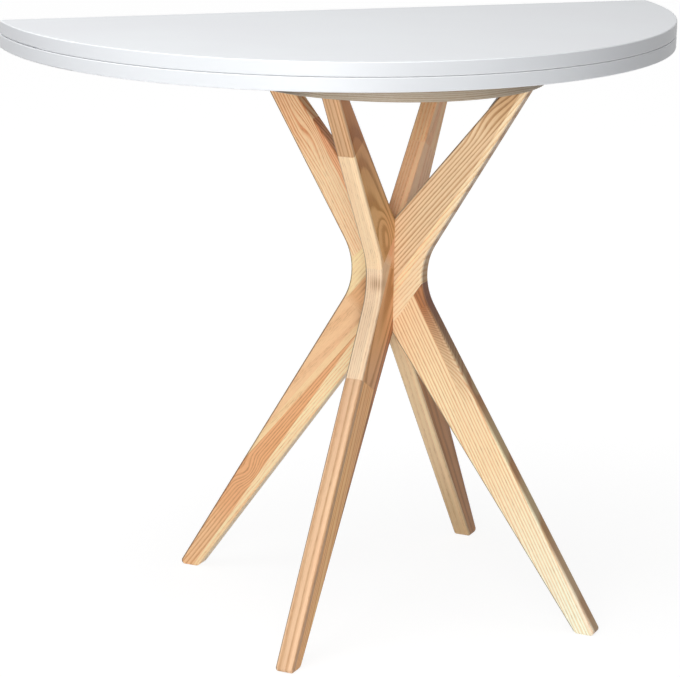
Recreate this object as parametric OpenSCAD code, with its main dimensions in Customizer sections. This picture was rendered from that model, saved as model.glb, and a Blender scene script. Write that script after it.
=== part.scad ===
/* [Table top] */
// Radius of the half-round leaves
leaf_r = 450; // [380:1:550]
// Thickness of each leaf
leaf_t = 18; // [16:0.5:22]
// Round-over on the curved rim of each leaf
rim_round = 1.6; // [0.5:0.1:3]
// Round-over on the hinged corner of each leaf
joint_round = 3; // [3:0.1:4]
// Play between the two closed leaves, and between their edges when open
leaf_gap = 0.3; // [0.2:0.05:0.6]
// Distance from the centre of the base back to the hinged edge
hinge_back = 234; // [200:1:270]

/* [Support plate] */
// Diameter of the round support plate
plate_d = 385; // [350:1:420]
// Thickness of the support plate
plate_t = 16; // [14:0.5:22]
// Round-over on the rim of the support plate
plate_round = 1.5; // [0.5:0.1:3]
// Play between the support plate and the lower leaf
top_gap = 0.6; // [0.4:0.05:1]

/* [Legs] */
// Height of the crossed legs, from the floor to the support plate
leg_h = 690; // [640:1:740]
// Thickness of the leg boards
leg_t = 23; // [20:0.5:26]
// Distance from the centre to the outer corner of a foot
foot_reach = 300; // [270:1:330]
// Width of a foot along the floor
foot_w = 29; // [26:0.5:36]
// Distance from the rim of the support plate to the outer corner of an arm
top_inset = 7; // [4:0.5:14]
// Width of an arm under the support plate
top_w = 29.5; // [26:0.5:36]
// Distance from the centre at which the two outer lines of a leg meet
knee_out = 36; // [32:0.5:42]
// Height at which the two outer lines of a leg meet
knee_z = 440; // [420:1:460]
// Radius of the hollow curve outside the knee
knee_round = 77; // [50:1:90]
// Height of the upper fork between two arms
fork_top_z = 500; // [490:1:515]
// Height of the lower fork between two arms
fork_low_z = 377; // [360:1:385]
// Round-over on the long edges of the legs
leg_round = 3; // [1.5:0.1:4]
// Radius of the outer corner of a foot, seen from the side
foot_round = 5; // [4.5:0.1:7]
// Radius of the inner corner of a foot, seen from the side
foot_inner_round = 9; // [4.5:0.1:11]
// Turn of the crossed legs from the diagonals of the top, in degrees
leg_turn = 1.8; // [0:0.1:6]

/* [Leg joints] */
// Lean of the glue line under a top arm, in degrees from upright
top_joint_lean = 47; // [44:0.5:50]
// Lean of the glue line above a foot arm, in degrees from upright
foot_joint_lean = 33.5; // [32:0.5:36]
// Height at which the line above a foot arm crosses the centre
foot_joint_z = 357; // [352:0.5:360]
// Play at the cheeks and the floor of the cross halving
halving_play = 0.05; // [0.02:0.01:0.2]
// Diameter of the dowels in the glue joints
dowel_d = 6; // [5:0.5:7]
// Length of the dowels in the glue joints
dowel_len = 30; // [24:1:32]
// Play round a dowel
dowel_play = 0.05; // [0.02:0.01:0.15]
// Spacing of the two dowels along a glue line
dowel_pitch = 17; // [15:0.5:19]
// Depth of the outer dowel's centre inside the knee, along the line under a top arm
top_dowel_in = 13; // [11:0.5:15]
// Distance from the centre to the inner dowel, along the line above a foot arm
foot_dowel_out = 48.5; // [47:0.5:50]

/* [Leg screws] */
// Shank diameter of the leg screws
leg_screw_d = 5; // [4:0.5:6]
// Length of the leg screws
leg_screw_len = 60; // [50:1:70]
// Spacing of the two screws of a leg, along the plate
leg_screw_pitch = 13; // [12:0.5:14]
// Depth of the screw heads below the top of the plate
leg_screw_sink = 1; // [0.5:0.1:2]

/* [Glides] */
// Diameter of the glide discs
glide_d = 24; // [18:1:30]
// Thickness of the glide discs
glide_t = 2.5; // [2:0.1:4]
// Distance from the centre of the plate to the glide discs
glide_out = 172; // [166:1:176]
// Play above the glide discs
glide_play = 0.1; // [0.05:0.01:0.2]

/* [Pivot] */
// Diameter of the pivot stud
stud_d = 10; // [8:0.5:12]
// Running play round the stud
run_play = 0.05; // [0.02:0.01:0.09]
// Wall of the pivot bush
bush_wall = 2; // [1.5:0.1:3]
// Diameter of the collar of the bush
bush_collar_d = 24; // [20:1:28]
// Thickness of the collar of the bush
bush_collar_t = 1.5; // [1:0.1:2.5]
// Diameter of the pivot flange
flange_d = 60; // [52:1:70]
// Thickness of the pivot flange
flange_t = 3; // [2.5:0.1:4]
// Diameter of the circle of flange screws
flange_screw_circle = 42; // [38:1:44]
// Diameter of the flat washer
washer_d = 28; // [24:1:32]
// Thickness of the flat washer
washer_t = 2; // [1.5:0.1:3]
// Thickness of the spring washer
spring_t = 1.6; // [1.2:0.1:2.4]
// Width of the lock nut across its flats
nut_flats = 17; // [16:0.5:19]
// Height of the hexagon of the lock nut
nut_t = 7; // [6:0.5:9]
// Height of the collar of the lock nut
nut_collar_t = 2.5; // [2:0.1:4]
// Play between faces that turn on each other
face_play = 0.1; // [0.05:0.01:0.2]
// Play round parts that are pressed in
seat_play = 0.02; // [0.01:0.01:0.05]

/* [Turn stop] */
// Diameter of the stop pin
stop_d = 8; // [6:0.5:10]
// Reach of the stop pin into the support plate
stop_reach = 6; // [4:0.5:8]
// Depth of the stop pin in the lower leaf
stop_seat = 10; // [8:0.5:12]
// Radius of the groove that the stop pin runs in
stop_out = 45; // [40:1:50]
// Play round the stop pin in its groove
stop_play = 0.3; // [0.2:0.05:0.5]

/* [Hinges] */
// Distance between the two inner hinges
hinge_inner_pitch = 250; // [200:1:300]
// Distance between the two outer hinges
hinge_outer_pitch = 690; // [600:1:740]
// Width of a hinge plate along the edge
hinge_w = 44; // [40:1:60]
// Height of a hinge plate on the edge
hinge_h = 14; // [13:0.5:15]
// Thickness of a hinge plate
hinge_t = 7; // [6.6:0.1:9]
// Distance from a hinge pin to both faces of its corner
pin_in = 2.6; // [2.4:0.1:2.8]
// Diameter of the hinge pins
pin_d = 2.4; // [2:0.1:2.6]
// Width of the link
link_w = 8; // [6:0.5:12]
// Metal of the link round its pin
link_wall = 1.15; // [1:0.05:1.2]
// Play between the link and the hinge plates
link_play = 0.3; // [0.2:0.05:0.5]
// Play between a hinge plate and its mortise
mortise_play = 0.1; // [0.05:0.01:0.3]
// Shank diameter of the hinge screws
hinge_screw_d = 3.5; // [3:0.1:4]
// Length of the hinge screws
hinge_screw_len = 30; // [20:1:40]
// Spacing of the two screws of a hinge plate
hinge_screw_pitch = 28; // [26:0.5:30]
// Depth of the hinge screws from the faces that meet
hinge_screw_in = 9; // [8.5:0.1:9.5]

/* [Hidden] */
$fn = 96;

ash = "#E3BE8F";
ash_rim = "#C9A983";
white_lacquer = "#F2F4F6";
steel = "#B9BCC0";
brass = "#C9A24B";
nylon = "#EFEDE6";
beech = "#D9B88C";

// Cuts and bores run this far past the face that they open
past = 1;
// Corners of a cutter stand this far off the corner that they round
shy = 0.5;
// Play between a screw and its hole
screw_play = 0.05;

// Heights
plate_z = leg_h;
plate_top = plate_z + plate_t;
lower_z = plate_top + top_gap;
lower_top = lower_z + leaf_t;
upper_z = lower_top + leaf_gap;

// The origin lies under the middle of the whole table, seen from above.
// The foot that reaches furthest forward and the hinged edge set that middle.
diagonal = 45;
foot_tip_a = diagonal - leg_turn;
foot_out = [foot_reach, 0];
foot_in = [foot_reach - foot_w, 0];
knee = [knee_out, knee_z];
foot_tip_out = fillet_centre(knee, foot_out, foot_in, foot_round).x + foot_round;
foot_tip = (foot_tip_out - leg_round) * cos(foot_tip_a) + (leg_t / 2 - leg_round) * sin(foot_tip_a) + leg_round;
base_y = (foot_tip - hinge_back) / 2;
hinge_y = base_y + hinge_back;

// Side view of one crossed frame: distance out from the centre, height
top_reach = plate_d / 2 - top_inset;
fork_low = [0, fork_low_z];
fork_top = [0, fork_top_z];
arm_in = [top_reach - top_w, leg_h];
arm_out = [top_reach, leg_h];
halving_z = (fork_low_z + fork_top_z) / 2;
halving_half = leg_t / 2 + halving_play;
// Middle of the arc that rounds the knee, and where it runs into the two sides
knee_centre = fillet_centre(arm_out, knee, foot_out, knee_round);
knee_top = fillet_touch(arm_out, knee, foot_out, knee_round);
knee_low = fillet_touch(foot_out, knee, arm_out, knee_round);
// The cutters of the inner edges run this far past the forks before they are mitred
fork_lap = 2 * leg_round;

// Screws follow the middle line of the arm
arm_lean = (atan2(arm_in.x - fork_top.x, arm_in.y - fork_top.y) + atan2(arm_out.x - knee.x, arm_out.y - knee.y)) / 2;
arm_mid = (arm_in.x + arm_out.x) / 2;
leg_screw_head = 2 * leg_screw_d;

// Pivot and stop
pivot_y = base_y + hinge_back / 2;
bush_d = stud_d + 2 * run_play + 2 * bush_wall;
bush_low = plate_z - bush_collar_t;
washer_top = bush_low - face_play;
spring_top = washer_top - washer_t;
nut_top = spring_top - spring_t;
nut_low = nut_top - nut_t - nut_collar_t;
// End of the stud below the nut
stud_past = 2;
flange_screw_d = 4;
flange_screw_len = 14;
flange_screw_count = 4;
stop_groove_r = stop_d / 2 + stop_play;

// Hinges
hinge_xs = [-hinge_outer_pitch / 2, -hinge_inner_pitch / 2, hinge_inner_pitch / 2, hinge_outer_pitch / 2];
link_r = pin_d / 2 + link_wall;
link_len = 2 * pin_in + leaf_gap;
link_slot = pin_in + link_r + link_play;

function unit(v) = v / norm(v);
// Centre of a circle of radius r that touches both sides of the corner a, c, b
function fillet_centre(a, c, b, r) =
  let (u = unit(a - c), v = unit(b - c), half = acos(u * v) / 2)
  c + unit(u + v) * r / sin(half);
// Point where that circle touches the side from c to a
function fillet_touch(a, c, b, r) =
  let (u = unit(a - c), v = unit(b - c), half = acos(u * v) / 2)
  c + u * r / tan(half);

// The sliver between a corner and the arc that rounds it, run past the corner
module corner_sliver(a, c, b, r) {
  centre = fillet_centre(a, c, b, r);
  difference() {
    polygon([c - past * unit(centre - c), fillet_touch(a, c, b, r), centre, fillet_touch(b, c, a, r)]);
    translate(centre) circle(r);
  }
}

// Section of a round-over cutter, for a corner at the origin with the wood at lower left
module round_over(r) {
  difference() {
    translate([-r, -r]) square(r + shy);
    translate([-r, -r]) circle(r);
  }
}

// Puts a section drawn in depth and height along the X axis, centred
module along_x(length) {
  translate([-length / 2, 0, 0]) rotate([90, 0, 90]) linear_extrude(length) children();
}

// Countersunk wood screw with its head at the origin, pointing down.
// The head is twice as wide as the shank and sinks at 45 degrees.
module wood_screw(d, length) {
  head_t = d / 2;
  tip_len = 1.5 * d;
  tip_end_d = d / 8;
  cross_len = 1.2 * d;
  cross_w = d / 5;
  difference() {
    union() {
      translate([0, 0, -head_t]) cylinder(d1 = d, d2 = 2 * d, h = head_t);
      translate([0, 0, tip_len - length]) cylinder(d = d, h = length - head_t - tip_len);
      translate([0, 0, -length]) cylinder(d1 = tip_end_d, d2 = d, h = tip_len);
    }
    for (turn = [0, 90])
      rotate(turn) cube([cross_len, cross_w, head_t], center = true);
  }
}

// Hole for that screw, a little larger all round and open above its head
module wood_screw_hole(d, length, above) {
  head_t = d / 2;
  translate([0, 0, -length - past / 2]) cylinder(d = d + 2 * screw_play, h = length + past);
  translate([0, 0, -head_t - screw_play])
    cylinder(d1 = d + 2 * screw_play, d2 = 2 * d + 2 * screw_play, h = head_t + screw_play);
  translate([0, 0, -screw_play / 4]) cylinder(d = 2 * d + 4 * screw_play, h = above);
}

// Crossed frames

// Stands a frame drawn in side view upright, with its +X side towards an angle
module stand(angle) {
  translate([0, base_y, 0]) rotate(angle) rotate([90, 0, 0]) children();
}
rear_left_frame = leg_turn - diagonal;
front_left_frame = leg_turn + diagonal;

module frame_outline() {
  difference() {
    union() {
      for (side = [0, 1]) mirror([side, 0]) {
        polygon([fork_low, fork_top, arm_in, arm_out, knee, foot_out, foot_in]);
        corner_sliver(arm_out, knee, foot_out, knee_round);
      }
    }
    for (side = [0, 1]) mirror([side, 0]) {
      corner_sliver(knee, foot_out, foot_in, foot_round);
      corner_sliver(foot_out, foot_in, fork_low, foot_inner_round);
    }
  }
}

// The cutter stands a hair off both faces, and a little more round the arcs,
// where the straight cuts run a short way into the curved ones
hair = 0.03;
arc_hair = 0.05;
knee_lap = 0.3;
module leg_cutter(off) {
  translate([off, off]) round_over(leg_round);
}
// Round-over cutter along one edge of the outline, with the wood to the right of a to b
module edge_cut(a, b) {
  along = b - a;
  translate(a) rotate(atan2(along.y, along.x))
    for (face = [0, 1]) mirror([0, 0, face])
      translate([norm(along) / 2, 0, leg_t / 2]) along_x(norm(along)) leg_cutter(hair);
}
// Sweeps a section round the arc of radius r in the corner a, c, b of the outline
module arc_cut(a, c, b, r) {
  centre = fillet_centre(a, c, b, r);
  towards = c - centre;
  sweep = 180 - acos(unit(a - c) * unit(b - c));
  for (face = [0, 1]) mirror([0, 0, face])
    translate([centre.x, centre.y, leg_t / 2]) rotate(atan2(towards.y, towards.x) - sweep / 2)
      rotate_extrude(angle = sweep) translate([r, 0]) children();
}
// Keeps the +X half of a cutter, so that the two cutters in a fork meet in a mitre
module mitred() {
  intersection() {
    children();
    translate([0, 0, -leg_t]) cube([foot_reach, leg_h + past, 2 * leg_t]);
  }
}

// Round-over cutters on the +X side of a frame
module arm_inner_cut() {
  mitred() edge_cut(fork_top - fork_lap * unit(arm_in - fork_top), arm_in);
}
module foot_inner_cut() {
  mitred() edge_cut(foot_in, fork_low - fork_lap * unit(foot_in - fork_low));
}
module arm_cuts() {
  edge_cut(arm_out, knee_top + knee_lap * unit(knee - arm_out));
  arm_inner_cut();
}
module knee_cuts() {
  arc_cut(arm_out, knee, foot_out, knee_round) mirror([1, 0]) leg_cutter(arc_hair);
}
module foot_cuts() {
  edge_cut(knee_low + knee_lap * unit(knee - foot_out), foot_out);
  arc_cut(knee, foot_out, foot_in, foot_round) leg_cutter(arc_hair);
  edge_cut(foot_out, foot_in);
  arc_cut(foot_out, foot_in, fork_low, foot_inner_round) leg_cutter(arc_hair);
  foot_inner_cut();
}
module other_side() { mirror([1, 0, 0]) children(); }

// Unit vectors along the two glue lines, away from the centre
top_line = [-sin(top_joint_lean), -cos(top_joint_lean)];
foot_line = [sin(foot_joint_lean), cos(foot_joint_lean)];
foot_joint = [0, foot_joint_z];
// Both are drawn this long, past the faces of a leg
line_len = knee_round + 2 * top_w;
knee_half = knee_centre.x - knee_round;
top_line_out = knee_half / sin(top_joint_lean);

// Sides of the glue lines, seen from the side
module top_arm_side() {
  end = fork_top + line_len * top_line;
  polygon([fork_top, [0, leg_h + past], [-foot_reach, leg_h + past], [-foot_reach, end.y], end]);
}
module foot_arm_side() {
  end = foot_joint + line_len * foot_line;
  polygon([foot_joint, end, [foot_reach + past, end.y], [foot_reach + past, -past], [0, -past]]);
}
module board() {
  linear_extrude(leg_t, center = true) children();
}

// Housing in which the other frame crosses: up is 1 where it is open at the top
module halving(up) {
  low = up ? halving_z - halving_play / 2 : 0;
  high = up ? leg_h : halving_z + halving_play / 2;
  translate([-halving_half, low, -leg_t]) cube([2 * halving_half, high - low, 2 * leg_t]);
}

// Places its children on both dowel axes of each glue line, with the axis along Z
module at_dowels() {
  for (i = [0, 1]) {
    top_spot = fork_top + (top_line_out - top_dowel_in - i * dowel_pitch) * top_line;
    translate(top_spot) rotate([0, 0, 90 - top_joint_lean]) rotate([90, 0, 0]) children();
    foot_spot = foot_joint + (foot_dowel_out + i * dowel_pitch) * foot_line;
    translate(foot_spot) rotate([0, 0, 90 - foot_joint_lean]) rotate([90, 0, 0]) children();
  }
}
module dowel_holes() {
  at_dowels() cylinder(d = dowel_d + 2 * dowel_play, h = dowel_len + past, center = true);
}

// Places its children at the heads of the two screws of the arm on the +X side
module at_arm_screws() {
  for (i = [-1, 1])
    translate([arm_mid + i * leg_screw_pitch / 2, plate_top, 0]) rotate([0, 0, -arm_lean])
      translate([0, -leg_screw_sink - leg_screw_head / 2 * tan(arm_lean), 0]) rotate([-90, 0, 0]) children();
}
module arm_screw_hole() {
  wood_screw_hole(leg_screw_d, leg_screw_len, leg_screw_head);
}

module long_bar(up) {
  difference() {
    board() difference() {
      frame_outline();
      top_arm_side();
      foot_arm_side();
    }
    arm_cuts();
    knee_cuts();
    foot_inner_cut();
    other_side() {
      arm_inner_cut();
      knee_cuts();
      foot_cuts();
    }
    halving(up);
    dowel_holes();
    at_arm_screws() arm_screw_hole();
  }
}
module top_arm(up) {
  difference() {
    board() intersection() {
      frame_outline();
      top_arm_side();
    }
    other_side() {
      arm_cuts();
      knee_cuts();
      at_arm_screws() arm_screw_hole();
    }
    halving(up);
    dowel_holes();
  }
}
module foot_arm(up) {
  difference() {
    board() intersection() {
      frame_outline();
      foot_arm_side();
    }
    knee_cuts();
    foot_cuts();
    halving(up);
    dowel_holes();
  }
}
// Dowels with chamfered ends
module leg_dowels() {
  end = 0.8;
  at_dowels() {
    cylinder(d = dowel_d, h = dowel_len - 2 * end, center = true);
    for (face = [0, 1]) mirror([0, 0, face])
      translate([0, 0, dowel_len / 2 - end]) cylinder(d1 = dowel_d, d2 = dowel_d - 2 * end, h = end);
  }
}

module long_bar_rear_left() { color(ash) stand(rear_left_frame) long_bar(true); }
module top_arm_rear_left() { color(ash) stand(rear_left_frame) top_arm(true); }
module foot_arm_front_right() { color(ash) stand(rear_left_frame) foot_arm(true); }
module leg_dowels_rear_left() { color(beech) stand(rear_left_frame) leg_dowels(); }
module long_bar_front_left() { color(ash) stand(front_left_frame) long_bar(false); }
module top_arm_front_left() { color(ash) stand(front_left_frame) top_arm(false); }
module foot_arm_rear_right() { color(ash) stand(front_left_frame) foot_arm(false); }
module leg_dowels_front_left() { color(beech) stand(front_left_frame) leg_dowels(); }

// Support plate and what is let into it

module at_glides() {
  for (turn = [0 : 90 : 270])
    translate([0, base_y, plate_top]) rotate(turn) translate([glide_out, 0, 0]) children();
}
glide_proud = top_gap - glide_play;

// Groove of the stop pin, half a turn round the pivot on the front side
module stop_groove() {
  depth = stop_reach - top_gap + stop_play;
  translate([0, pivot_y, plate_top - depth]) {
    rotate(180) rotate_extrude(angle = 180)
      translate([stop_out - stop_groove_r, 0]) square([2 * stop_groove_r, depth + past]);
    for (side = [-1, 1]) translate([side * stop_out, 0, 0]) cylinder(r = stop_groove_r, h = depth + past);
  }
}

// All screws of both frames
module at_leg_screws() {
  for (frame = [rear_left_frame, front_left_frame])
    stand(frame) for (side = [0, 1]) mirror([side, 0, 0]) at_arm_screws() children();
}

module support_plate() {
  color(ash_rim) difference() {
    translate([0, base_y, plate_z]) rotate_extrude() difference() {
      square([plate_d / 2, plate_t]);
      translate([plate_d / 2, plate_t]) round_over(plate_round);
      translate([plate_d / 2, 0]) mirror([0, 1]) round_over(plate_round);
    }
    at_glides() translate([0, 0, glide_proud - glide_t])
      cylinder(d = glide_d + 2 * mortise_play, h = glide_t + past);
    translate([0, pivot_y, plate_z - past]) cylinder(d = bush_d + 2 * seat_play, h = plate_t + 2 * past);
    stop_groove();
    at_leg_screws() arm_screw_hole();
  }
}
module leg_screws() {
  color(steel) at_leg_screws() wood_screw(leg_screw_d, leg_screw_len);
}
module glide_discs() {
  color(nylon) at_glides() translate([0, 0, glide_proud - glide_t]) cylinder(d = glide_d, h = glide_t);
}
module pivot_bush() {
  bore_d = stud_d + 2 * run_play;
  color(nylon) translate([0, pivot_y, 0]) difference() {
    union() {
      translate([0, 0, bush_low]) cylinder(d = bush_collar_d, h = bush_collar_t);
      translate([0, 0, plate_z]) cylinder(d = bush_d, h = plate_t);
    }
    translate([0, 0, bush_low - past]) cylinder(d = bore_d, h = plate_t + bush_collar_t + 2 * past);
  }
}

// Swivel parts that turn with the lower leaf

module at_flange_screws() {
  for (i = [0 : flange_screw_count - 1])
    translate([0, pivot_y, lower_z]) rotate(45 + i * 360 / flange_screw_count)
      translate([flange_screw_circle / 2, 0, 0]) mirror([0, 0, 1]) children();
}
module pivot_flange() {
  color(steel) difference() {
    translate([0, pivot_y, 0]) union() {
      translate([0, 0, lower_z]) cylinder(d = flange_d, h = flange_t);
      translate([0, 0, nut_low - stud_past]) cylinder(d = stud_d, h = lower_z - nut_low + stud_past);
    }
    at_flange_screws() wood_screw_hole(flange_screw_d, flange_screw_len, past);
  }
}
module flange_screws() {
  color(steel) at_flange_screws() wood_screw(flange_screw_d, flange_screw_len);
}
module stud_ring(d, low, t) {
  translate([0, pivot_y, low]) difference() {
    cylinder(d = d, h = t);
    translate([0, 0, -past]) cylinder(d = stud_d + 2 * run_play, h = t + 2 * past);
  }
}
module pivot_washer() { color(steel) stud_ring(washer_d, spring_top, washer_t); }
// Split by a slanted slit
module spring_washer() {
  spring_wall = 4;
  slit_w = 1;
  slit_lean = 20;
  reach = 4 * spring_t;
  color(steel) difference() {
    stud_ring(stud_d + 2 * spring_wall, nut_top, spring_t);
    translate([0, pivot_y, nut_top + spring_t / 2]) rotate([slit_lean, 0, 0])
      translate([stud_d / 2, -slit_w / 2, -reach / 2]) cube([2 * spring_wall, slit_w, reach]);
  }
}
// Hexagon with a round collar below it that holds the locking ring
module lock_nut() {
  corner_cut = 1;
  color(steel) difference() {
    translate([0, pivot_y, nut_low]) union() {
      cylinder(d = nut_flats - corner_cut, h = nut_collar_t);
      translate([0, 0, nut_collar_t]) intersection() {
        cylinder(d = nut_flats / cos(30), h = nut_t, $fn = 6);
        cylinder(d1 = nut_flats + corner_cut, d2 = nut_flats + corner_cut + 2 * nut_t, h = nut_t);
      }
    }
    translate([0, pivot_y, nut_low - past]) cylinder(d = stud_d + 2 * run_play, h = nut_top - nut_low + 2 * past);
  }
}
module stop_pin() {
  color(steel) translate([-stop_out, pivot_y, lower_z - stop_reach]) cylinder(d = stop_d, h = stop_reach + stop_seat);
}

// Leaves

// Half-round leaf lying under its hinged corner: the face that meets the other leaf is at Z = 0
module leaf_blank() {
  difference() {
    translate([0, 0, -leaf_t]) rotate(180) rotate_extrude(angle = 180) difference() {
      square([leaf_r, leaf_t]);
      translate([leaf_r, leaf_t]) round_over(rim_round);
      translate([leaf_r, 0]) mirror([0, 1]) round_over(rim_round);
    }
    along_x(2 * leaf_r + 2 * past) round_over(joint_round);
    translate([0, 0, -leaf_t]) along_x(2 * leaf_r + 2 * past) mirror([0, 1]) round_over(rim_round);
    at_hinges() {
      along_x(hinge_w + 2 * mortise_play)
        translate([-hinge_t - mortise_play, -hinge_h - mortise_play])
          square([hinge_t + mortise_play + past, hinge_h + mortise_play + past]);
      at_hinge_screws() wood_screw_hole(hinge_screw_d, hinge_screw_len, past);
    }
  }
}
module at_hinges() {
  for (x = hinge_xs) translate([x, 0, 0]) children();
}
// Screws go in square to the edge, from the hinged side
module at_hinge_screws() {
  for (i = [-1, 1])
    translate([i * hinge_screw_pitch / 2, 0, -hinge_screw_in]) rotate([-90, 0, 0]) children();
}

// Places what is drawn for the lower leaf: hinged corner at the origin
module as_lower() { translate([0, hinge_y, lower_top]) children(); }
// The upper leaf is the same thing turned over, on top
module as_upper() { translate([0, hinge_y, upper_z]) mirror([0, 0, 1]) children(); }

module lower_leaf() {
  color(white_lacquer) difference() {
    as_lower() leaf_blank();
    translate([0, pivot_y, lower_z - past])
      cylinder(d = flange_d + 2 * mortise_play, h = flange_t + past + mortise_play);
    at_flange_screws() wood_screw_hole(flange_screw_d, flange_screw_len, past);
    translate([-stop_out, pivot_y, lower_z - past])
      cylinder(d = stop_d + 2 * seat_play, h = stop_seat + past);
  }
}
module upper_leaf() {
  color(white_lacquer) as_upper() leaf_blank();
}

// Hinges

// Plate with a slot for the link, drilled along the edge for its pin
module hinge_plates() {
  at_hinges() difference() {
    along_x(hinge_w) translate([-hinge_t, -hinge_h]) square([hinge_t, hinge_h]);
    along_x(hinge_w + 2 * past) round_over(joint_round);
    along_x(link_w + 2 * link_play) translate([-link_slot, -link_slot]) square(link_slot + past);
    along_x(hinge_w + 2 * past) translate([-pin_in, -pin_in]) circle(d = pin_d + 2 * seat_play);
    at_hinge_screws() wood_screw_hole(hinge_screw_d, hinge_screw_len, past);
  }
}
module hinge_pins() {
  inset = 0.5;
  at_hinges() along_x(hinge_w - 2 * inset) translate([-pin_in, -pin_in]) circle(d = pin_d);
}
// Two eyes joined by a web: the link turns on one pin in each plate
module hinge_links() {
  bore = pin_d + 2 * run_play;
  color(brass) as_lower() at_hinges() along_x(link_w) translate([-pin_in, -pin_in]) difference() {
    union() {
      circle(link_r);
      translate([0, link_len]) circle(link_r);
      translate([-link_r, 0]) square([2 * link_r, link_len]);
    }
    circle(d = bore);
    translate([0, link_len]) circle(d = bore);
  }
}
module hinge_screws() {
  at_hinges() at_hinge_screws() wood_screw(hinge_screw_d, hinge_screw_len);
}
module hinge_lower_plates() { color(brass) as_lower() hinge_plates(); }
module hinge_lower_pins() { color(steel) as_lower() hinge_pins(); }
module hinge_lower_screws() { color(brass) as_lower() hinge_screws(); }
module hinge_upper_plates() { color(brass) as_upper() hinge_plates(); }
module hinge_upper_pins() { color(steel) as_upper() hinge_pins(); }
module hinge_upper_screws() { color(brass) as_upper() hinge_screws(); }

long_bar_rear_left();
top_arm_rear_left();
foot_arm_front_right();
leg_dowels_rear_left();
long_bar_front_left();
top_arm_front_left();
foot_arm_rear_right();
leg_dowels_front_left();
support_plate();
leg_screws();
glide_discs();
pivot_bush();
lower_leaf();
pivot_flange();
flange_screws();
pivot_washer();
spring_washer();
lock_nut();
stop_pin();
hinge_lower_plates();
hinge_lower_pins();
hinge_lower_screws();
hinge_links();
hinge_upper_pins();
hinge_upper_plates();
hinge_upper_screws();
upper_leaf();
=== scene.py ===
# %% [markdown]
# A half-round table that opens to a round one. Two white leaves lie on each other and are
# hinged along the straight edge, on a plate carried by four legs of light ash. The packed
# model already has every solid in its real place, so this lesson is mostly about finishes:
# what each surface is made of, how it was worked, and how a camera and soft lamps show it.

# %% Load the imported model
import math
from collections import namedtuple
from functools import partial

import bpy
import numpy as np
from mathutils import Matrix, Vector

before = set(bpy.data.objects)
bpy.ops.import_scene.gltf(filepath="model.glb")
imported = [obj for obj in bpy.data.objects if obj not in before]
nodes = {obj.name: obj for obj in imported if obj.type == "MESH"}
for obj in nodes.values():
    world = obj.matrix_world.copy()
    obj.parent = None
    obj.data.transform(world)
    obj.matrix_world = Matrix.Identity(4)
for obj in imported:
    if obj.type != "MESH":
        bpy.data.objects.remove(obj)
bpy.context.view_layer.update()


# %% [markdown]
# A studio photograph is taken with a long lens from a little above the table top. A camera
# is a place, three angles and a focal length. The picture is 680 pixels wide on a 36 mm
# sensor, so a focal length in pixels is turned to millimetres by 36 / 680. A very small
# shift moves the middle of the picture, as a view camera does, without turning the lens.

# %% Camera
PICTURE = (680, 677)
SENSOR = 36.0
camera_at = Vector((-1.0552, -2.99734, 1.1999))
yaw, pitch, roll = (math.radians(a) for a in (18.247, 15.005, 0.775))
focal_px = 2561.2
middle_px = (337.0, 339.1)

look = Vector((math.sin(yaw) * math.cos(pitch), math.cos(yaw) * math.cos(pitch), -math.sin(pitch)))
level = Vector((math.cos(yaw), -math.sin(yaw), 0))
upward = level.cross(look)
right = math.cos(roll) * level + math.sin(roll) * upward
up = math.cos(roll) * upward - math.sin(roll) * level
turn = Matrix((right, up, -look)).transposed()

lens = bpy.data.cameras.new("camera")
lens.sensor_fit = "HORIZONTAL"
lens.sensor_width = SENSOR
lens.lens = SENSOR * focal_px / PICTURE[0]
lens.shift_x = (PICTURE[0] / 2 - middle_px[0]) / PICTURE[0]
lens.shift_y = (middle_px[1] - PICTURE[1] / 2) / PICTURE[0]
camera = bpy.data.objects.new("camera", lens)
camera.matrix_world = Matrix.Translation(camera_at) @ turn.to_4x4()
bpy.context.scene.collection.objects.link(camera)
bpy.context.scene.camera = camera
print("lens:", round(lens.lens, 1), "mm, shift:", round(lens.shift_x, 4), round(lens.shift_y, 4))


# %% [markdown]
# Every finish below is a small graph of shader nodes. Typing such a graph by hand is long,
# so one helper adds any node, sets it up and links it in one go. Colours are written the
# way a paint shop writes them, as sRGB hex values. Shaders count in linear light, so one
# function turns the first into the second. The scale of a pattern follows from the size of
# what is drawn: noise with a scale of MM / 4 has humps about 4 mm wide.

# %% Colours and nodes
MM = 1000.0  # millimetres in a metre


def linear(hex_colour):
    """sRGB hex to linear light: a straight part near black, a power of 2.4 above it."""
    part = [int(hex_colour[i : i + 2], 16) / 255 for i in (1, 3, 5)]
    return [c / 12.92 if c <= 0.04045 else ((c + 0.055) / 1.055) ** 2.4 for c in part]


def add(tree, kind, inputs=(), stops=None, **settings):
    """Adds a shader node, sets it up and links it. inputs says what goes in, by name or in
    order: a number, a vector, a hex colour, an output of a node, or a node, whose first
    output in use is taken. stops are the places on a colour ramp, each with a hex colour,
    a grey or three linear numbers."""
    node = tree.nodes.new("ShaderNode" + kind)
    for name, value in settings.items():
        setattr(node.color_ramp if stops else node, name, value)
    if not isinstance(inputs, dict):
        inputs = dict(enumerate(inputs))
    for key, value in inputs.items():
        if isinstance(value, bpy.types.Node):
            value = next(output for output in value.outputs if output.enabled)
        if isinstance(value, bpy.types.NodeSocket):
            tree.links.new(value, node.inputs[key])
        elif isinstance(value, str):
            node.inputs[key].default_value = (*linear(value), 1)
        else:
            node.inputs[key].default_value = value
    elements = node.color_ramp.elements if stops else []
    while len(elements) > 1:
        elements.remove(elements[-1])
    for i, (place, colour) in enumerate(stops or ()):
        if isinstance(colour, str):
            colour = linear(colour)
        elif isinstance(colour, float):
            colour = (colour,) * 3
        element = elements[0] if i == 0 else elements.new(place)
        element.position = place
        element.color = (*colour, 1)
    return node


print("half grey in linear light:", round(linear("#808080")[0], 3))


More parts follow.
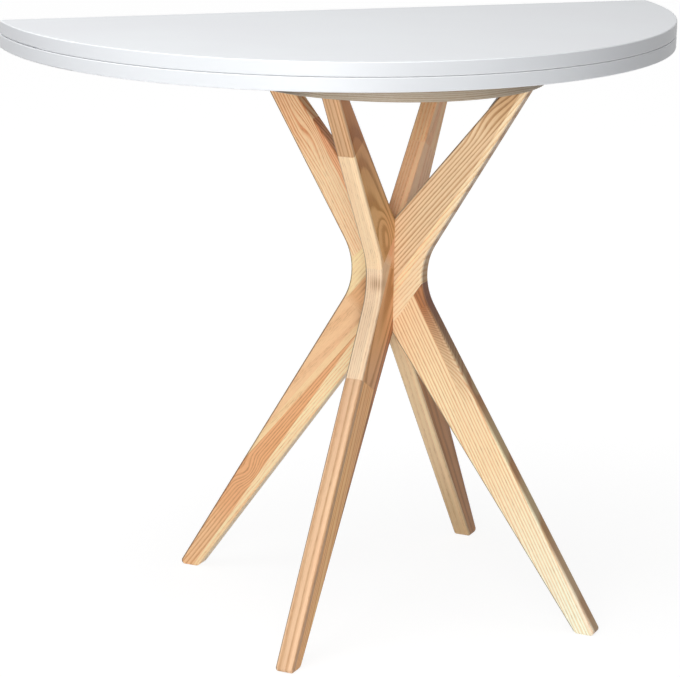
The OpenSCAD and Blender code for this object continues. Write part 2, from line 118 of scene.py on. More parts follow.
# %% Materials and the pieces that wear them
def new_material(name):
    """A material whose graph is still empty, and that graph."""
    material = bpy.data.materials.new(name)
    material.use_nodes = True
    material.node_tree.nodes.clear()
    return material, material.node_tree


def dress(material, *names):
    """Puts one material on all the material slots of these nodes of the model."""
    for name in names:
        mesh = nodes[name].data
        mesh.materials.clear()
        mesh.materials.append(material)
    print(material.name, "of", len(material.node_tree.nodes), "shader nodes, on", ", ".join(names))


print("pieces to dress:", len(nodes))


# %% [markdown]
# The studio is a pale floor, white paper all round, and five soft boxes. The floor has to
# look as white as the paper behind it, but it may not light the table from below more than
# a real floor does. A shader can ask through Light Path where a ray comes from, and here
# only rays straight from the camera, or by way of a mirror, see the extra white. Under the
# table there is a little less of it, so that the faint shadow stays.

# %% Floor
FLOOR_HALF = 6.0  # half the floor's width, in metres
UNDER_FEET = 0.0002  # the floor lies this much lower than the feet, so that neither flickers
NEAR, AWAY = 0.3, 1.8  # metres from the middle between which the extra white rises


def studio_floor():
    """Square floor, as a two by two grid of points."""
    x, y = np.meshgrid([-FLOOR_HALF, FLOOR_HALF], [-FLOOR_HALF, FLOOR_HALF])
    points = np.stack([x, y, np.full_like(x, -UNDER_FEET)], -1).reshape(-1, 3)
    mesh = bpy.data.meshes.new("floor")
    mesh.from_pydata(points.tolist(), [], [(0, 1, 3, 2)])
    floor = bpy.data.objects.new("floor", mesh)
    bpy.context.scene.collection.objects.link(floor)
    return floor


def seen_directly(tree):
    """1 for rays from the camera and for what is seen in gloss or through glass."""
    path = add(tree, "LightPath").outputs
    seen = add(tree, "Math", (path["Is Camera Ray"], path["Is Glossy Ray"]), operation="MAXIMUM")
    return add(tree, "Math", (seen, path["Is Transmission Ray"]), operation="MAXIMUM")


def white_paper():
    """Matt paper: pale grey to the light, and where it is seen a darker grey that glows white."""
    material, tree = new_material("white_paper_floor")
    seen = seen_directly(tree)
    tone = add(tree, "Mix", {"Factor": seen, "A": "#E8E8E8", "B": "#707070"}, data_type="RGBA")
    place = add(tree, "TexCoord").outputs["Object"]
    distance = add(tree, "VectorMath", (place,), operation="LENGTH")
    lift = {"Value": distance, "From Min": NEAR, "From Max": AWAY, "To Min": 0.9, "To Max": 0.97}
    glow = add(tree, "Math", (seen, add(tree, "MapRange", lift)), operation="MULTIPLY")
    shader = add(
        tree, "BsdfPrincipled",
        {
            "Base Color": tone, "Roughness": 0.9, "Specular IOR Level": 0.0,
            "Emission Color": (1, 1, 1, 1), "Emission Strength": glow,
        },
    )
    add(tree, "OutputMaterial", {"Surface": shader})
    return material


floor = studio_floor()
floor.data.materials.append(white_paper())
print("floor:", [round(d, 2) for d in floor.dimensions], "m")


# %% [markdown]
# The paper all round is the world. The camera sees it pure white, while the table gets only
# a little light from it, because much of it would fill the shadows between the legs. The
# Standard view leaves colours as they are, where a film-like view would turn white grey.

# %% White surroundings
SKY_LIGHT = 0.12  # light that the table gets from the paper, where 1 is white

world = bpy.data.worlds.new("studio")
world.use_nodes = True
tree = world.node_tree
tree.nodes.clear()
sky = add(tree, "Background", {"Color": (1, 1, 1, 1), "Strength": SKY_LIGHT})
white = add(tree, "Background", {"Color": (1, 1, 1, 1), "Strength": 1.0})
add(tree, "OutputWorld", {"Surface": add(tree, "MixShader", (seen_directly(tree), sky, white))})
bpy.context.scene.world = world
bpy.context.scene.view_settings.view_transform = "Standard"
print("light from all round:", SKY_LIGHT)


# %% [markdown]
# A soft box is a square lamp behind white cloth. Three stand in front to the left, from knee
# to head height, so rims that face them are brightest and the right end of the leaves falls
# into a soft grey. One above to the left and one overhead light the top and draw the faint
# shadow. One large lamp would be simpler, but the faces of the legs look in many directions,
# and with several lamps each of them gets its own share.

# %% Soft boxes
TABLE_MIDDLE = (0, 0, 0.6)


def soft_box(name, at, size, power):
    """Square lamp of a size in metres that faces the table. Power is in watts."""
    lamp = bpy.data.lights.new(name, "AREA")
    lamp.shape = "SQUARE"
    lamp.size = size
    lamp.energy = power
    box = bpy.data.objects.new(name, lamp)
    box.location = at
    box.rotation_euler = (Vector(TABLE_MIDDLE) - Vector(at)).to_track_quat("-Z", "Y").to_euler()
    box.visible_camera = False
    bpy.context.scene.collection.objects.link(box)


soft_box("front_left", (-1.9, -2.7, 0.9), 1.5, 32.5)
soft_box("low_front", (-1.2, -3.2, 0.35), 1.2, 22.4)
soft_box("front", (-0.9, -2.6, 1.4), 1.2, 17.9)
soft_box("above_left", (-0.9, -0.3, 2.1), 1.0, 15.8)
soft_box("overhead", (0, 0, 3.0), 2.0, 20.8)


# %% [markdown]
# The leaves are board with sprayed white lacquer, rubbed to a satin sheen. Such a film is
# a hair uneven: a faint orange peel, a few millimetres from hump to hump, breaks up what
# it mirrors. The colour is a cool white, which under these lamps reads faintly blue. The
# rounded edges get a painted highlight, which makes them a little paler. The shader knows
# them by their normal, which looks neither straight up or down nor straight out to the side.

# %% White lacquer
PEEL_MM, CLOUD_MM = 4, 200  # from hump to hump of the orange peel, and of the sheen


def white_lacquer():
    """Satin white paint: faint bumps, a sheen in slow clouds, and a painted highlight on the
    edges.
    """
    material, tree = new_material("satin_white_lacquer")
    coordinates = add(tree, "TexCoord").outputs
    place, normal = coordinates["Object"], coordinates["Normal"]
    peel = add(tree, "TexNoise", {"Vector": place, "Scale": MM / PEEL_MM, "Detail": 2.0})
    sheen = add(tree, "TexNoise", {"Vector": place, "Scale": MM / CLOUD_MM, "Detail": 2.0})
    tone = add(tree, "ValToRGB", {"Fac": sheen}, stops=[(0.3, "#D7D9DD"), (0.7, "#DDE0E3")])
    upward = add(tree, "SeparateXYZ", (normal,)).outputs["Z"]
    upward = add(tree, "Math", (upward,), operation="ABSOLUTE")
    # The rounds of the edges get a painted highlight: a paler white
    painted_edge_highlight = add(tree, "ValToRGB", {"Fac": upward}, stops=[(0.1, 0.0), (0.5, 1.0), (0.9, 0.0)])
    tone = add(tree, "Mix", {"Factor": painted_edge_highlight, "A": tone, "B": "#EFF1F4"}, data_type="RGBA")
    gloss = add(
        tree, "MapRange",
        {"Value": sheen, "From Min": 0.3, "From Max": 0.7, "To Min": 0.32, "To Max": 0.4},
    )
    bump = add(tree, "Bump", {"Height": peel, "Strength": 0.05, "Distance": 0.0002})
    shader = add(tree, "BsdfPrincipled", {"Base Color": tone, "Roughness": gloss, "Normal": bump})
    add(tree, "OutputMaterial", {"Surface": shader})
    return material


dress(white_lacquer(), "upper_leaf", "lower_leaf")


# %% [markdown]
# Ash is a ring-porous wood. Each year begins with a band of wide pores, which cuts to a
# tan line, and ends with dense cream wood. A board is a flat cut through those nested
# tubes, so the pattern is worked out in space and not painted on: the distance from the
# tree's middle, divided by the width of a ring, counts the years. Cut square to the rings
# it gives parallel stripes, cut flat it gives long arches, and on the ends of the legs the
# same numbers give end grain. First each board needs axes of its own, along its grain.

# %% Axes of a board
LEGS_Y = -5.7352  # y of the line where the two crossed frames meet, in mm


def leg_axes(azimuth, grain):
    """Unit vectors along the grain, across it in the plane of a crossed frame, and through
    the board, for a frame turned to an azimuth, with the grain at an angle in its side view."""
    a, g = math.radians(azimuth), math.radians(grain)
    out = np.array([math.cos(a), math.sin(a), 0])
    through = np.array([math.sin(a), -math.cos(a), 0])
    along = math.cos(g) * out + np.array([0, 0, math.sin(g)])
    across = -math.sin(g) * out + np.array([0, 0, math.cos(g)])
    return np.stack([along, across, through])


def leg_spot(azimuth, out, height):
    """Point of a crossed frame in mm, from its distance out and height in the side view."""
    a = math.radians(azimuth)
    return np.array([out * math.cos(a), LEGS_Y + out * math.sin(a), height])


BROADSIDE, EDGEWISE = -43.2, 46.8  # azimuths of the two frames
print("knee of the broadside frame, in mm:", leg_spot(BROADSIDE, -44, 343).round(1))


# %% [markdown]
# Fibres are never quite straight. They wander slowly to the side, and round a place where a
# branch once grew they swing out and back. Both could be drawn as curves, but it is simpler
# to move the place at which the rings are looked up: by noise stretched along the grain for
# the one, and by a soft ball of push for the other.

# %% Fibres
# Sizes of what is seen in the wood, in mm along the grain and across it. Real pores are
# half as wide, which would be too fine to show.
WANDER_MM, PATCH_MM, FIBRE_MM, PORE_MM = (260, 90), (170, 30), (60, 1.4), (9, 0.6)
SWIRL_DEEP = 60  # how far through the board a swirl reaches, in mm


def stretched_noise(new, vector, size_mm, seed, detail=1.5):
    """Noise with humps of a size along the grain and across it."""
    along, across = size_mm
    stretch = (1 / along, 1 / across, 1 / across)
    stretched = new("VectorMath", (vector, stretch), operation="MULTIPLY")
    noise = {"Vector": stretched, "W": seed, "Scale": 1.0, "Detail": detail}
    return new("TexNoise", noise, noise_dimensions="4D")


def near(new, board, centre, reach):
    """1 at a place in the board, falling smoothly to 0 at the reach along, across, through."""
    away = new("VectorMath", (board, centre), operation="SUBTRACT")
    away = new("VectorMath", (away, tuple(1 / r for r in reach)), operation="MULTIPLY")
    away = new("VectorMath", (away,), operation="LENGTH")
    fall = {"Value": away, "To Min": 1.0, "To Max": 0.0}
    return new("MapRange", fall, interpolation_type="SMOOTHSTEP")


def fibres(new, board, seed, wander, swirls):
    """Where a place in the board lies among the fibres: the wander in mm, then the swirls."""
    # The colours of noise are three noises round a half, which push along, across and through
    drift = stretched_noise(new, board, WANDER_MM, seed).outputs["Color"]
    drift = new("VectorMath", (drift, (0.5, 0.5, 0.5)), operation="SUBTRACT")
    drift = new("VectorMath", (drift, (0, wander * 2, wander * 3)), operation="MULTIPLY")
    fibre = new("VectorMath", (board, drift), operation="ADD")
    for along, across, half_length, half_width, push in swirls:
        bulge = near(new, board, (along, across, 0), (half_length, half_width, SWIRL_DEEP))
        bulge = new("Math", (bulge, push), operation="MULTIPLY")
        bulge = new("CombineXYZ", {"Y": bulge, "Z": bulge})
        bulge = new("VectorMath", (bulge, (0, 1, 0.3)), operation="MULTIPLY")
        fibre = new("VectorMath", (fibre, bulge), operation="ADD")
    return fibre


print("fine fibres:", FIBRE_MM, "mm, pores:", PORE_MM, "mm")


# %% [markdown]
# The legs are glued from strips, and each strip came from another place in the tree: it has
# its own tone and its own distance from the middle. Strips lie side by side across a board.
# Along the board, a whole set of them ends where the next set is glued on, and such a set
# is called a stave here. One material for each strip would need every piece cut up, so one
# colour ramp with steps holds a value for each strip, and where staves meet, two ramps are
# mixed. A ramp holds numbers from 0 to 1 only, so lengths are divided by a span.

# %% Strips and staves
STRIP_SPAN = 400.0  # a ramp covers this width of a board in mm, with its origin in the middle
TREE_SPAN = 600.0  # the middle of the tree is at most half of this away
RING_SPAN = 20.0  # and no ring is wider than this

Strip = namedtuple("Strip", "start cream tan tree_across tree_through lean ring lines")
Stave = namedtuple("Stave", "start soft strips narrow")


def mix_staves(new, shares, values):
    """The value of the stave that is here, mixed where one stave gives way to the next."""
    value = values[0]
    for share, following in zip(shares, values[1:]):
        value = new("Mix", {"Factor": share, "A": value, "B": following}, data_type="RGBA")
    return value


def per_strip(new, width, shares, staves, value_of):
    """Value of each strip as a colour, from one ramp for each stave."""
    ramps = []
    for stave in staves:
        stops = [(max(0.0, s.start / STRIP_SPAN + 0.5), value_of(s)) for s in stave.strips]
        ramps.append(new("ValToRGB", {"Fac": width}, stops=stops, interpolation="CONSTANT"))
    return mix_staves(new, shares, ramps)


print("a strip is:", ", ".join(Strip._fields))


# %% [markdown]
# Now the years can be counted. The tree's middle may lie in any direction from a strip, and
# it may lean, so that the rings run out of the board's face. Some summers were dry, so one
# noise makes some rings wider than others. What is left after the whole years says when in
# the year the wood grew, and a ramp turns that into how much of it is early wood.

# %% Years
EARLY_WOOD = [
    (0.0, 0.3), (0.07, 1.0), (0.28, 0.9), (0.42, 0.35), (0.62, 0.0), (0.94, 0.0), (1.0, 0.3)
]


def early_wood(new, fibre, strip_value, ring, seed, uneven):
    """How much of the wood here grew in spring, from 0 to 1. ring is the width of a ring
    over RING_SPAN, and uneven says how much rings differ."""
    along, across, through = new("SeparateXYZ", (fibre,)).outputs
    middle = strip_value(
        lambda s: (s.tree_across / TREE_SPAN + 0.5, s.tree_through / TREE_SPAN + 0.5, s.lean + 0.5)
    )
    sideways, inward, lean = new("SeparateColor", (middle,)).outputs
    sideways = new("Math", (sideways, TREE_SPAN, -TREE_SPAN / 2), operation="MULTIPLY_ADD")
    inward = new("Math", (inward, TREE_SPAN, -TREE_SPAN / 2), operation="MULTIPLY_ADD")
    lean = new("Math", (lean, 0.5), operation="SUBTRACT")
    leant = new("Math", (along, lean, through), operation="MULTIPLY_ADD")
    side = new("Math", (across, sideways), operation="SUBTRACT")
    deep = new("Math", (leant, inward), operation="SUBTRACT")
    radius = new("VectorMath", (new("CombineXYZ", (side, deep)),), operation="LENGTH")
    ring = new("Math", (ring, RING_SPAN), operation="MULTIPLY")
    years = new("Math", (radius, ring), operation="DIVIDE")
    weather = new("Math", (years, 0.4, seed), operation="MULTIPLY_ADD")
    weather = new("TexNoise", {"W": weather, "Scale": 1.0, "Detail": 1.0}, noise_dimensions="1D")
    years = new("Math", (weather, uneven, years), operation="MULTIPLY_ADD")
    return new("ValToRGB", {"Fac": new("Math", (years,), operation="FRACT")}, stops=EARLY_WOOD)


print("early wood is fullest at", EARLY_WOOD[1][0], "of a year and gone by", EARLY_WOOD[4][0])


# %% [markdown]
# A leg isn't one tone all round, even where it is one strip. Light and shade are painted
# into it. At the back of the board, narrow faces take a painted tone given for each stave:
# a shade on some, a paler light on others, none on the rest. Toward the front that tone
# fades into a painted highlight. The sanded rounds between two faces get a painted
# highlight too. Rounds that look to the sides get a dark painted shade, which draws the thin
# outlines that the legs show against white paper. All of this follows from where the surface
# looks, so the colour is multiplied by a tone that comes from the normal.

# %% Tone of the faces
# Painted light and shade on the faces of the legs, as tones that multiply their colour
PAINTED_ROUND_HIGHLIGHT = 1.15  # tones of a sanded round over those of the face beside it
PAINTED_OUTLINE_SHADE = 0.38  # and of a round that looks to the side
PAINTED_SHADE_BACK_TO_FRONT = (0.0, 9.0)  # mm through the board over which a narrow face loses its tone


def painted_face_light(new, normal, through_axis, through, shares, staves):
    """Painted light and shade that the colours are multiplied by, from the normal and the place
    through the board.
    """
    broad = new("VectorMath", (normal, through_axis), operation="DOT_PRODUCT")
    broad = new("Math", (broad,), operation="ABSOLUTE")
    back, front = PAINTED_SHADE_BACK_TO_FRONT
    front = new("MapRange", {"Value": through, "From Min": back, "From Max": front, "To Max": 0.8})
    broad = new("Math", (broad, front), operation="MAXIMUM")
    tones = []
    for stave in staves:
        stops = [(0.0, stave.narrow), (0.35, stave.narrow), (0.7, PAINTED_ROUND_HIGHLIGHT), (0.95, 1.0)]
        tones.append(new("ValToRGB", {"Fac": broad}, stops=stops))
    tone = mix_staves(new, shares, tones)
    # Rounds that look to the sides get a painted shade: a dark outline
    sideways = new("VectorMath", (normal, (1, 0, 0)), operation="DOT_PRODUCT")
    sideways = new("Math", (sideways,), operation="ABSOLUTE")
    dark = {"Value": sideways, "From Min": 0.74, "From Max": 0.9, "To Min": 1.0, "To Max": PAINTED_OUTLINE_SHADE}
    return new("VectorMath", (tone, new("MapRange", dark)), operation="MULTIPLY")


print("tone of a round:", PAINTED_ROUND_HIGHLIGHT, "and to the sides:", PAINTED_OUTLINE_SHADE)


# %% [markdown]
# Now the wood itself. A strip's tan and cream are mixed by how much of the wood is early
# wood, and fine fibres blur the lines. Pores open mostly in the tan lines and are sunk in
# the bump. Slow patches of a warmer tone come next, then the dark spots of knots and of
# painted shade, and last the painted light and shade of the faces. The lacquer sinks into
# the pores, so tan lines are a little duller.

# %% Colours of ash
DARK_WOOD_AND_SHADE = "#8A5A34"  # what pores, knots and painted shade darken the wood to


def cut_wedges(new, board, cream, tan, wedges):
    """Cream and tan, changed past each of some slanting planes."""
    for direction, offset, other_cream, other_tan in wedges:
        depth = new("VectorMath", (board, direction), operation="DOT_PRODUCT")
        depth = new("Math", (depth, offset), operation="ADD")
        share = new("MapRange", {"Value": depth, "From Min": -0.5, "From Max": 0.5})
        cream = new("Mix", {"Factor": share, "A": cream, "B": other_cream}, data_type="RGBA")
        tan = new("Mix", {"Factor": share, "A": tan, "B": other_tan}, data_type="RGBA")
    return cream, tan


def pores_knots_and_shade(new, board, fibre, early, seed, knots_and_shade):
    """How open the pores are, and how much pores, knot marks and painted shade darken the wood."""
    pore = stretched_noise(new, fibre, PORE_MM, seed, 1.0)
    pore = new("MapRange", {"Value": pore, "From Min": 0.52, "From Max": 0.68})
    more = new("Math", (early, 0.7, 0.3), operation="MULTIPLY_ADD")
    pore = new("Math", (pore, more), operation="MULTIPLY")
    dark = new("Math", (pore, 0.35), operation="MULTIPLY")
    for *centre, radius in knots_and_shade:
        ripple = new("Math", (early, 0.5, 0.45), operation="MULTIPLY_ADD")
        dark_spot = new("Math", (near(new, board, centre, (radius,) * 3), ripple), operation="MULTIPLY")
        dark = new("Math", (dark, dark_spot), operation="MAXIMUM")
    return pore, dark


print("pores and knots darken to", DARK_WOOD_AND_SHADE)


# %% Ash
def ash(name, axes, origin, staves, seed=0.0, blotch="#E9B48C", blotched=0.25, wander=3.0,
        swirls=(), knots_and_shade=(), wedges=(), uneven=1.2):
    """Lacquered ash. Lengths are in mm along the board's axes from its origin. staves lists
    what follows on each other along the grain, as (start, half width of the change, strips,
    painted light and shade of the narrow faces), and a strip is (start across the grain,
    cream, tan, middle of the tree across and through the board, lean of the tree, width of a
    ring, strength of the lines). swirls are places where the fibres bulge, as (along, across,
    half length, half width, push), and the dark spots are (along, across, through, radius):
    knot marks, and painted shade where another leg crosses close by. wedges are parts of
    other tones past a slanting plane, as (direction, offset, cream, tan): sapwood, and a
    painted shade along an inner edge."""
    material, tree = new_material(name)
    new = partial(add, tree)
    coordinates = new("TexCoord").outputs
    board = new(
        "Mapping",
        {
            "Vector": coordinates["Object"],
            "Location": tuple(-axes @ origin),
            "Rotation": Matrix(axes.tolist()).to_euler("XYZ"),
            "Scale": (MM, MM, MM),
        },
    )
    along, across, through = new("SeparateXYZ", (board,)).outputs
    fibre = fibres(new, board, seed, wander, swirls)

    # Which strip this is, across the board, and which stave, along it
    staves = [Stave(start, soft, [Strip(*s) for s in strips], narrow)
              for start, soft, strips, narrow in staves]
    half = STRIP_SPAN / 2
    width = new("MapRange", {"Value": across, "From Min": -half, "From Max": half})
    shares = []
    for stave in staves[1:]:
        change = {"From Min": stave.start - stave.soft, "From Max": stave.start + stave.soft}
        shares.append(new("MapRange", {"Value": along} | change))
    strip_value = partial(per_strip, new, width, shares, staves)

    cream, tan = strip_value(lambda s: s.cream), strip_value(lambda s: s.tan)
    cream, tan = cut_wedges(new, board, cream, tan, wedges)
    habit = strip_value(lambda s: (s.ring / RING_SPAN, s.lines, 0))
    ring, strength, _ = new("SeparateColor", (habit,)).outputs
    early = early_wood(new, fibre, strip_value, ring, seed, uneven)
    fine = stretched_noise(new, fibre, FIBRE_MM, seed + 1, 2.0)
    fine = new("Math", (fine, 0.7, -0.35), operation="MULTIPLY_ADD")
    lines = new("Math", (early, strength), operation="MULTIPLY")
    lines = new("Math", (lines, fine), operation="ADD", use_clamp=True)
    colour = new("Mix", {"Factor": lines, "A": cream, "B": tan}, data_type="RGBA")

    pore, dark = pores_knots_and_shade(new, board, fibre, early, seed + 2, knots_and_shade)
    patch = stretched_noise(new, board, PATCH_MM, seed + 3, 2.0)
    patch = new("MapRange", {"Value": patch, "From Min": 0.4, "From Max": 0.7, "To Max": blotched})
    colour = new("Mix", {"Factor": patch, "A": colour, "B": blotch}, data_type="RGBA")
    colour = new("Mix", {"Factor": dark, "A": colour, "B": DARK_WOOD_AND_SHADE}, data_type="RGBA")
    painted_light_tone = painted_face_light(new, coordinates["Normal"], tuple(axes[2]), through, shares, staves)
    toned = {"Factor": 1.0, "A": colour, "B": painted_light_tone}
    colour = new("Mix", toned, data_type="RGBA", blend_type="MULTIPLY")

    gloss = new("MapRange", {"Value": lines, "To Min": 0.3, "To Max": 0.42})
    sunk = new("Math", (pore, -1), operation="MULTIPLY")
    bump = new("Bump", {"Height": sunk, "Strength": 0.2, "Distance": 0.0003})
    finish = {"Base Color": colour, "Roughness": gloss, "Normal": bump, "Specular IOR Level": 0.15}
    new("OutputMaterial", {"Surface": new("BsdfPrincipled", finish)})
    return material


print("ramps of ash reach", STRIP_SPAN, "mm over a board and", TREE_SPAN, "mm over a tree")


# %% [markdown]
# Six boards make the two crossed frames. The long bar of each frame runs from a foot up to
# the far side of the plate, and the two short arms are glued to it. Every board is glued
# from staves: where one ends and the next begins, the colour jumps straight across the leg.
# In the frame that is seen broadside, the upper part of the long bar is cut square to the
# rings and shows even stripes. Its foot is calmer, with a swirl where a branch once grew.
# Sapwood is the pale young wood under the bark: a cut at a slant to it gives the light
# wedge that runs down this foot.

# %% Boards of the frame seen broadside
FAR = -200  # start of the first strip, past the edge of every board

# Painted light and shade of the narrow faces, as tones over those of the broad ones, in red, green
# and blue
EVEN, PAINTED_LIGHT_NARROW, PAINTED_SHADE_NARROW = (1.0, 1.0, 1.0), (1.0, 1.06, 1.1), (0.55, 0.44, 0.34)

# Strips: start, cream, tan, tree middle across, through, lean, ring width, strength of lines
broadside_boards = {
    "long_bar_rear_left": dict(
        azimuth=BROADSIDE, grain=50.0, spot=(-44, 343), seed=1.3, uneven=0.6,
        staves=[
            (0, 0, [(FAR, "#F8CC9C", "#CE9260", -75, 45, 0.04, 3.2, 0.8)], EVEN),
            (-330, 30, [(FAR, "#F0B583", "#CA8E5C", -75, 45, 0.04, 3.2, 0.8),
                        (4.5, "#FCDDAB", "#F0C28E", 90, 200, 0.03, 7.0, 0.4),
                        (12, "#F9CFA0", "#E6B082", 90, 200, 0.03, 7.0, 0.4)], EVEN),
            (42, 6, [(FAR, "#F5DBB6", "#D1A67C", -260, 5, 0.0, 4.5, 1.0),
                     # From 20 mm across, the tones are partly the wood's own and partly painted
                     # shade beside the front leg
                     (20, "#E8B685", "#CC9869", -260, 5, 0.0, 4.5, 0.4),
                     (44, "#FDE9B6", "#F6CE98", -260, 5, 0.0, 4.5, 0.4)], PAINTED_SHADE_NARROW),
            (106, 4, [(FAR, "#EFD2AB", "#C6996D", -260, 5, 0.0, 4.5, 1.0)], PAINTED_SHADE_NARROW),
            (350, 25, [(FAR, "#DDB88B", "#AA7E53", -260, 5, 0.0, 4.5, 1.0)], PAINTED_SHADE_NARROW),
        ],
        swirls=[(-247, -12, 34, 22, 12), (355, 70, 60, 26, -9)],
        # The two dark spots at the knee are painted shade where the front leg crosses close by
        knots_and_shade=[(83, 28, 11, 36), (44, 5, 11, 30)],
        wedges=[((0.105, -1, 0), 2, "#FDE8BA", "#FACB98"),
                ((0.165, -1, 0), -14.5, "#FDE6C0", "#EFCA9A")],
    ),
    "top_arm_rear_left": dict(
        azimuth=BROADSIDE, grain=119.0, spot=(-60, 530), seed=2.1, blotch="#E8AC84",
        staves=[
            (0, 0, [(FAR, "#FDC497", "#D2905D", -100, 45, 0.05, 3.4, 0.8),
                    (-9, "#FDE3B8", "#F0B888", -120, 50, 0.02, 3.4, 0.8)], PAINTED_LIGHT_NARROW),
            (68, 36, [(FAR, "#E9A376", "#BB7445", -100, 45, 0.05, 3.6, 0.9),
                      (-9, "#F7D0A2", "#DE9666", -120, 50, 0.02, 3.6, 1.0)], PAINTED_LIGHT_NARROW),
        ],
        swirls=[(92, 2, 60, 16, 9)],
    ),
    "foot_arm_front_right": dict(
        azimuth=BROADSIDE, grain=-61.5, spot=(160, 210), seed=4.4, wander=1.5, uneven=0.6,
        staves=[
            (0, 0, [(FAR, "#FDDFB3", "#E2AE80", -260, 5, 0.0, 4.2, 1.0),
                    (-9, "#B2774C", "#7B4C32", -200, -200, 0.0, 3.4, 0.6)], PAINTED_SHADE_NARROW),
            (-150, 70, [(FAR, "#FDECC1", "#ECBA8A", -260, 5, 0.0, 4.2, 1.0),
                        (16, "#FDE0B4", "#ECB98A", -260, 5, 0.0, 4.2, 0.8)], PAINTED_SHADE_NARROW),
            (110, 110, [(FAR, "#FDFDE5", "#F0DAB0", -260, 5, 0.0, 4.2, 1.0),
                        (16, "#FDEED2", "#F2CEAC", -260, 5, 0.0, 4.2, 0.8)], PAINTED_SHADE_NARROW),
        ],
    ),
}
print("boards seen broadside:", ", ".join(broadside_boards))


# %% [markdown]
# The other frame turns its edge to the camera, so its outer narrow faces are what is seen
# first: quiet and pale, with the rings nearly level in them. Its broad faces lie in the
# shade and have browner wood. The top arm shows an arch, because it was cut flat near the
# middle of the tree.

# %% Boards of the frame seen edge on
edgewise_boards = {
    "long_bar_front_left": dict(
        azimuth=EDGEWISE, grain=59.0, spot=(-44, 343), seed=5.2, blotch="#E2A684", wander=1.5,
        staves=[
            (0, 0, [(FAR, "#FDCC8B", "#E69B5B", -40, 70, 0.03, 4.0, 0.9),
                    (34, "#E3BF9A", "#B8885C", 40, -290, 0.0, 8.0, 0.55)], EVEN),
            (-47.6, 0.6, [(FAR, "#EBB681", "#BF8753", 20, 60, 0.03, 4.0, 0.9),
                          (38, "#F6DFBD", "#DDB893", 40, -290, 0.0, 3.0, 0.5)], EVEN),
            (110, 6, [(FAR, "#FDD0A4", "#F5B07F", 60, 120, 0.02, 5.0, 0.6)], EVEN),
            (280, 0.6, [(FAR, "#FDD5A4", "#F8AF7D", 20, 90, 0.02, 5.0, 0.6)], EVEN),
        ],
        knots_and_shade=[(78, 47, 4, 16)],
        # The dark wedge is painted shade on the broad face near its inner edge
        wedges=[((-0.05, -1, 0), -4, "#BC7942", "#8A542D")],
    ),
    "top_arm_front_left": dict(
        azimuth=EDGEWISE, grain=121.0, spot=(-60, 530), seed=6.6,
        staves=[
            (0, 0, [(FAR, "#EBBC82", "#B88047", 15, 60, -0.10, 6.0, 0.8),
                    (20, "#F8DBB3", "#E8BE92", 24, -290, 0.0, 3.0, 0.4)], EVEN),
            (60, 40, [(FAR, "#D89E64", "#A86B36", 15, 60, -0.10, 6.0, 0.8),
                      (20, "#F8DBB3", "#E8BE92", 24, -290, 0.0, 3.0, 0.4)], EVEN),
            (110, 0.6, [(FAR, "#BD7B3F", "#915220", 15, 60, -0.10, 6.0, 0.8),
                        (19, "#D4AB83", "#B28255", 24, -290, 0.0, 4.4, 0.9)], EVEN),
        ],
        swirls=[(-36, 2, 44, 26, 24)],
    ),
    "foot_arm_rear_right": dict(
        azimuth=EDGEWISE, grain=-54.3, spot=(160, 210), seed=7.7, wander=1.5,
        staves=[
            (0, 0, [(FAR, "#FBDDB2", "#E8BF8E", 10, 120, 0.02, 6.0, 0.4),
                    (-29.5, "#CC883E", "#A36327", 10, 60, 0.02, 5.0, 0.7)], EVEN),
            (120, 60, [(FAR, "#ECCD9F", "#D7AD7C", 10, 120, 0.02, 6.0, 0.4),
                       (-29.5, "#CC883E", "#A36327", 10, 60, 0.02, 5.0, 0.7)], EVEN),
        ],
    ),
}
for name, board in (broadside_boards | edgewise_boards).items():
    azimuth = board.pop("azimuth")
    axes = leg_axes(azimuth, board.pop("grain"))
    origin = leg_spot(azimuth, *board.pop("spot"))
    dress(ash("ash_" + name, axes, origin, **board), name)


# %% [markdown]
# The round plate under the top is ash too, glued from straight strips. Its edge is cut
# across the rings and given grey-brown tones, with level lines a few millimetres apart. The
# same shader makes it, with other tones.

# %% Plate
PLATE_STRIP = 60  # width of its strips, in mm

plate_axes = np.eye(3)
plate_middle = np.array([0.0, -5.0, 698.0])
plate_strips = [
    (y, "#B8AC9A", "#8E7C67", y + PLATE_STRIP // 2, -299, 0.0, 2.4, 0.8)
    for y in range(FAR, -FAR, PLATE_STRIP)
]
plate_wood = ash(
    "ash_support_plate", plate_axes, plate_middle, [(0, 0, plate_strips, EVEN)],
    seed=8.3, blotch="#A39380", blotched=0.5, wander=1.0,
)
dress(plate_wood, "support_plate")


# %% [markdown]
# The dowels in the joints of the legs are beech, which is plainer and pinker than ash. All
# that the eye sees of it is short dark flecks, so rings aren't needed: noise that is drawn
# out four to one is enough.

# %% Dowels
def beech():
    """Turned beech: fine darker flecks 1 mm wide and 4 mm long on a pinkish tan."""
    material, tree = new_material("beech")
    place = add(tree, "TexCoord").outputs["Object"]
    place = add(tree, "VectorMath", (place, (MM / 1, MM / 1, MM / 4)), operation="MULTIPLY")
    fleck = add(tree, "TexNoise", {"Vector": place, "Scale": 1.0, "Detail": 2.0})
    tone = add(tree, "ValToRGB", {"Fac": fleck}, stops=[(0.4, "#DDB68C"), (0.65, "#BE9068")])
    shader = add(tree, "BsdfPrincipled", {"Base Color": tone, "Roughness": 0.6})
    add(tree, "OutputMaterial", {"Surface": shader})
    return material


dress(beech(), "leg_dowels_rear_left", "leg_dowels_front_left")


# %% [markdown]
# Metal parts show only as small glints at the back edge and under the top: hinges of satin
# brass with ground steel pins, and a zinc-plated pivot with its flange, nut and screws.
# Each metal is one Principled shader at full metallic. What tells them apart is colour and
# the marks of the tool: brushed lines on brass, grinding rings on pins, and the crystals of
# zinc that break its grey into dull patches.

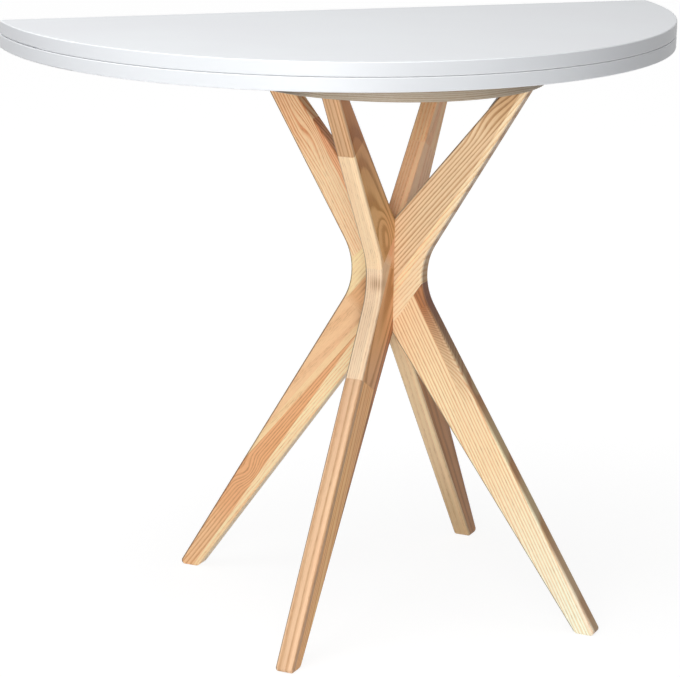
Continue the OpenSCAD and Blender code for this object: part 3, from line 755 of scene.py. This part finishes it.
# %% Metals
def metal(name, light, dark, rough, grain_mm):
    """Metal whose tone and gloss follow noise with humps of grain_mm along X, Y and Z."""
    material, tree = new_material(name)
    place = add(tree, "TexCoord").outputs["Object"]
    place = add(tree, "VectorMath", (place, tuple(MM / g for g in grain_mm)), operation="MULTIPLY")
    marks = add(tree, "TexNoise", {"Vector": place, "Scale": 1.0, "Detail": 3.0})
    tone = add(tree, "ValToRGB", {"Fac": marks}, stops=[(0.35, dark), (0.65, light)])
    duller, glossier = rough + 0.12, rough - 0.06
    gloss = add(
        tree, "MapRange",
        {"Value": marks, "From Min": 0.3, "From Max": 0.7, "To Min": duller, "To Max": glossier},
    )
    bump = add(tree, "Bump", {"Height": marks, "Strength": 0.1, "Distance": 0.0001})
    finish = {"Base Color": tone, "Roughness": gloss, "Normal": bump, "Metallic": 1.0}
    add(tree, "OutputMaterial", {"Surface": add(tree, "BsdfPrincipled", finish)})
    return material


dress(
    metal("brushed_brass", "#DDB968", "#C29A48", 0.3, (12, 0.4, 0.4)),
    "hinge_lower_plates", "hinge_upper_plates", "hinge_links",
    "hinge_lower_screws", "hinge_upper_screws",
)
dress(
    metal("ground_steel", "#C9CBCE", "#A9ACB0", 0.22, (0.3, 8, 8)),
    "hinge_lower_pins", "hinge_upper_pins",
)
dress(
    metal("zinc_plated_steel", "#CDD0D4", "#AEB3B8", 0.34, (3, 3, 3)),
    "pivot_flange", "flange_screws", "pivot_washer", "spring_washer",
    "lock_nut", "stop_pin", "leg_screws",
)


# %% [markdown]
# The top slides on four discs and turns in a bush of nylon, which needs no grease. It is
# moulded and left as it is: milky, faintly yellow, and dull, with slow clouds where the
# melt cooled at different speeds. Light goes a little way into real nylon, but the pieces
# are thin and hidden, so a plain surface does.

# %% Nylon
def nylon():
    """Natural nylon: milky, faintly yellow, with a dull even surface and 5 mm clouds."""
    material, tree = new_material("natural_nylon")
    place = add(tree, "TexCoord").outputs["Object"]
    milk = add(tree, "TexNoise", {"Vector": place, "Scale": MM / 5, "Detail": 2.0})
    tone = add(tree, "ValToRGB", {"Fac": milk}, stops=[(0.35, "#E9E6DC"), (0.65, "#F1EFE8")])
    shader = add(tree, "BsdfPrincipled", {"Base Color": tone, "Roughness": 0.45, "IOR": 1.53})
    add(tree, "OutputMaterial", {"Surface": shader})
    return material


dress(nylon(), "glide_discs", "pivot_bush")
plain = [
    name for name, piece in nodes.items()
    if not any(m and m.use_nodes and len(m.node_tree.nodes) > 3 for m in piece.data.materials)
]
print("pieces without a finish:", plain)
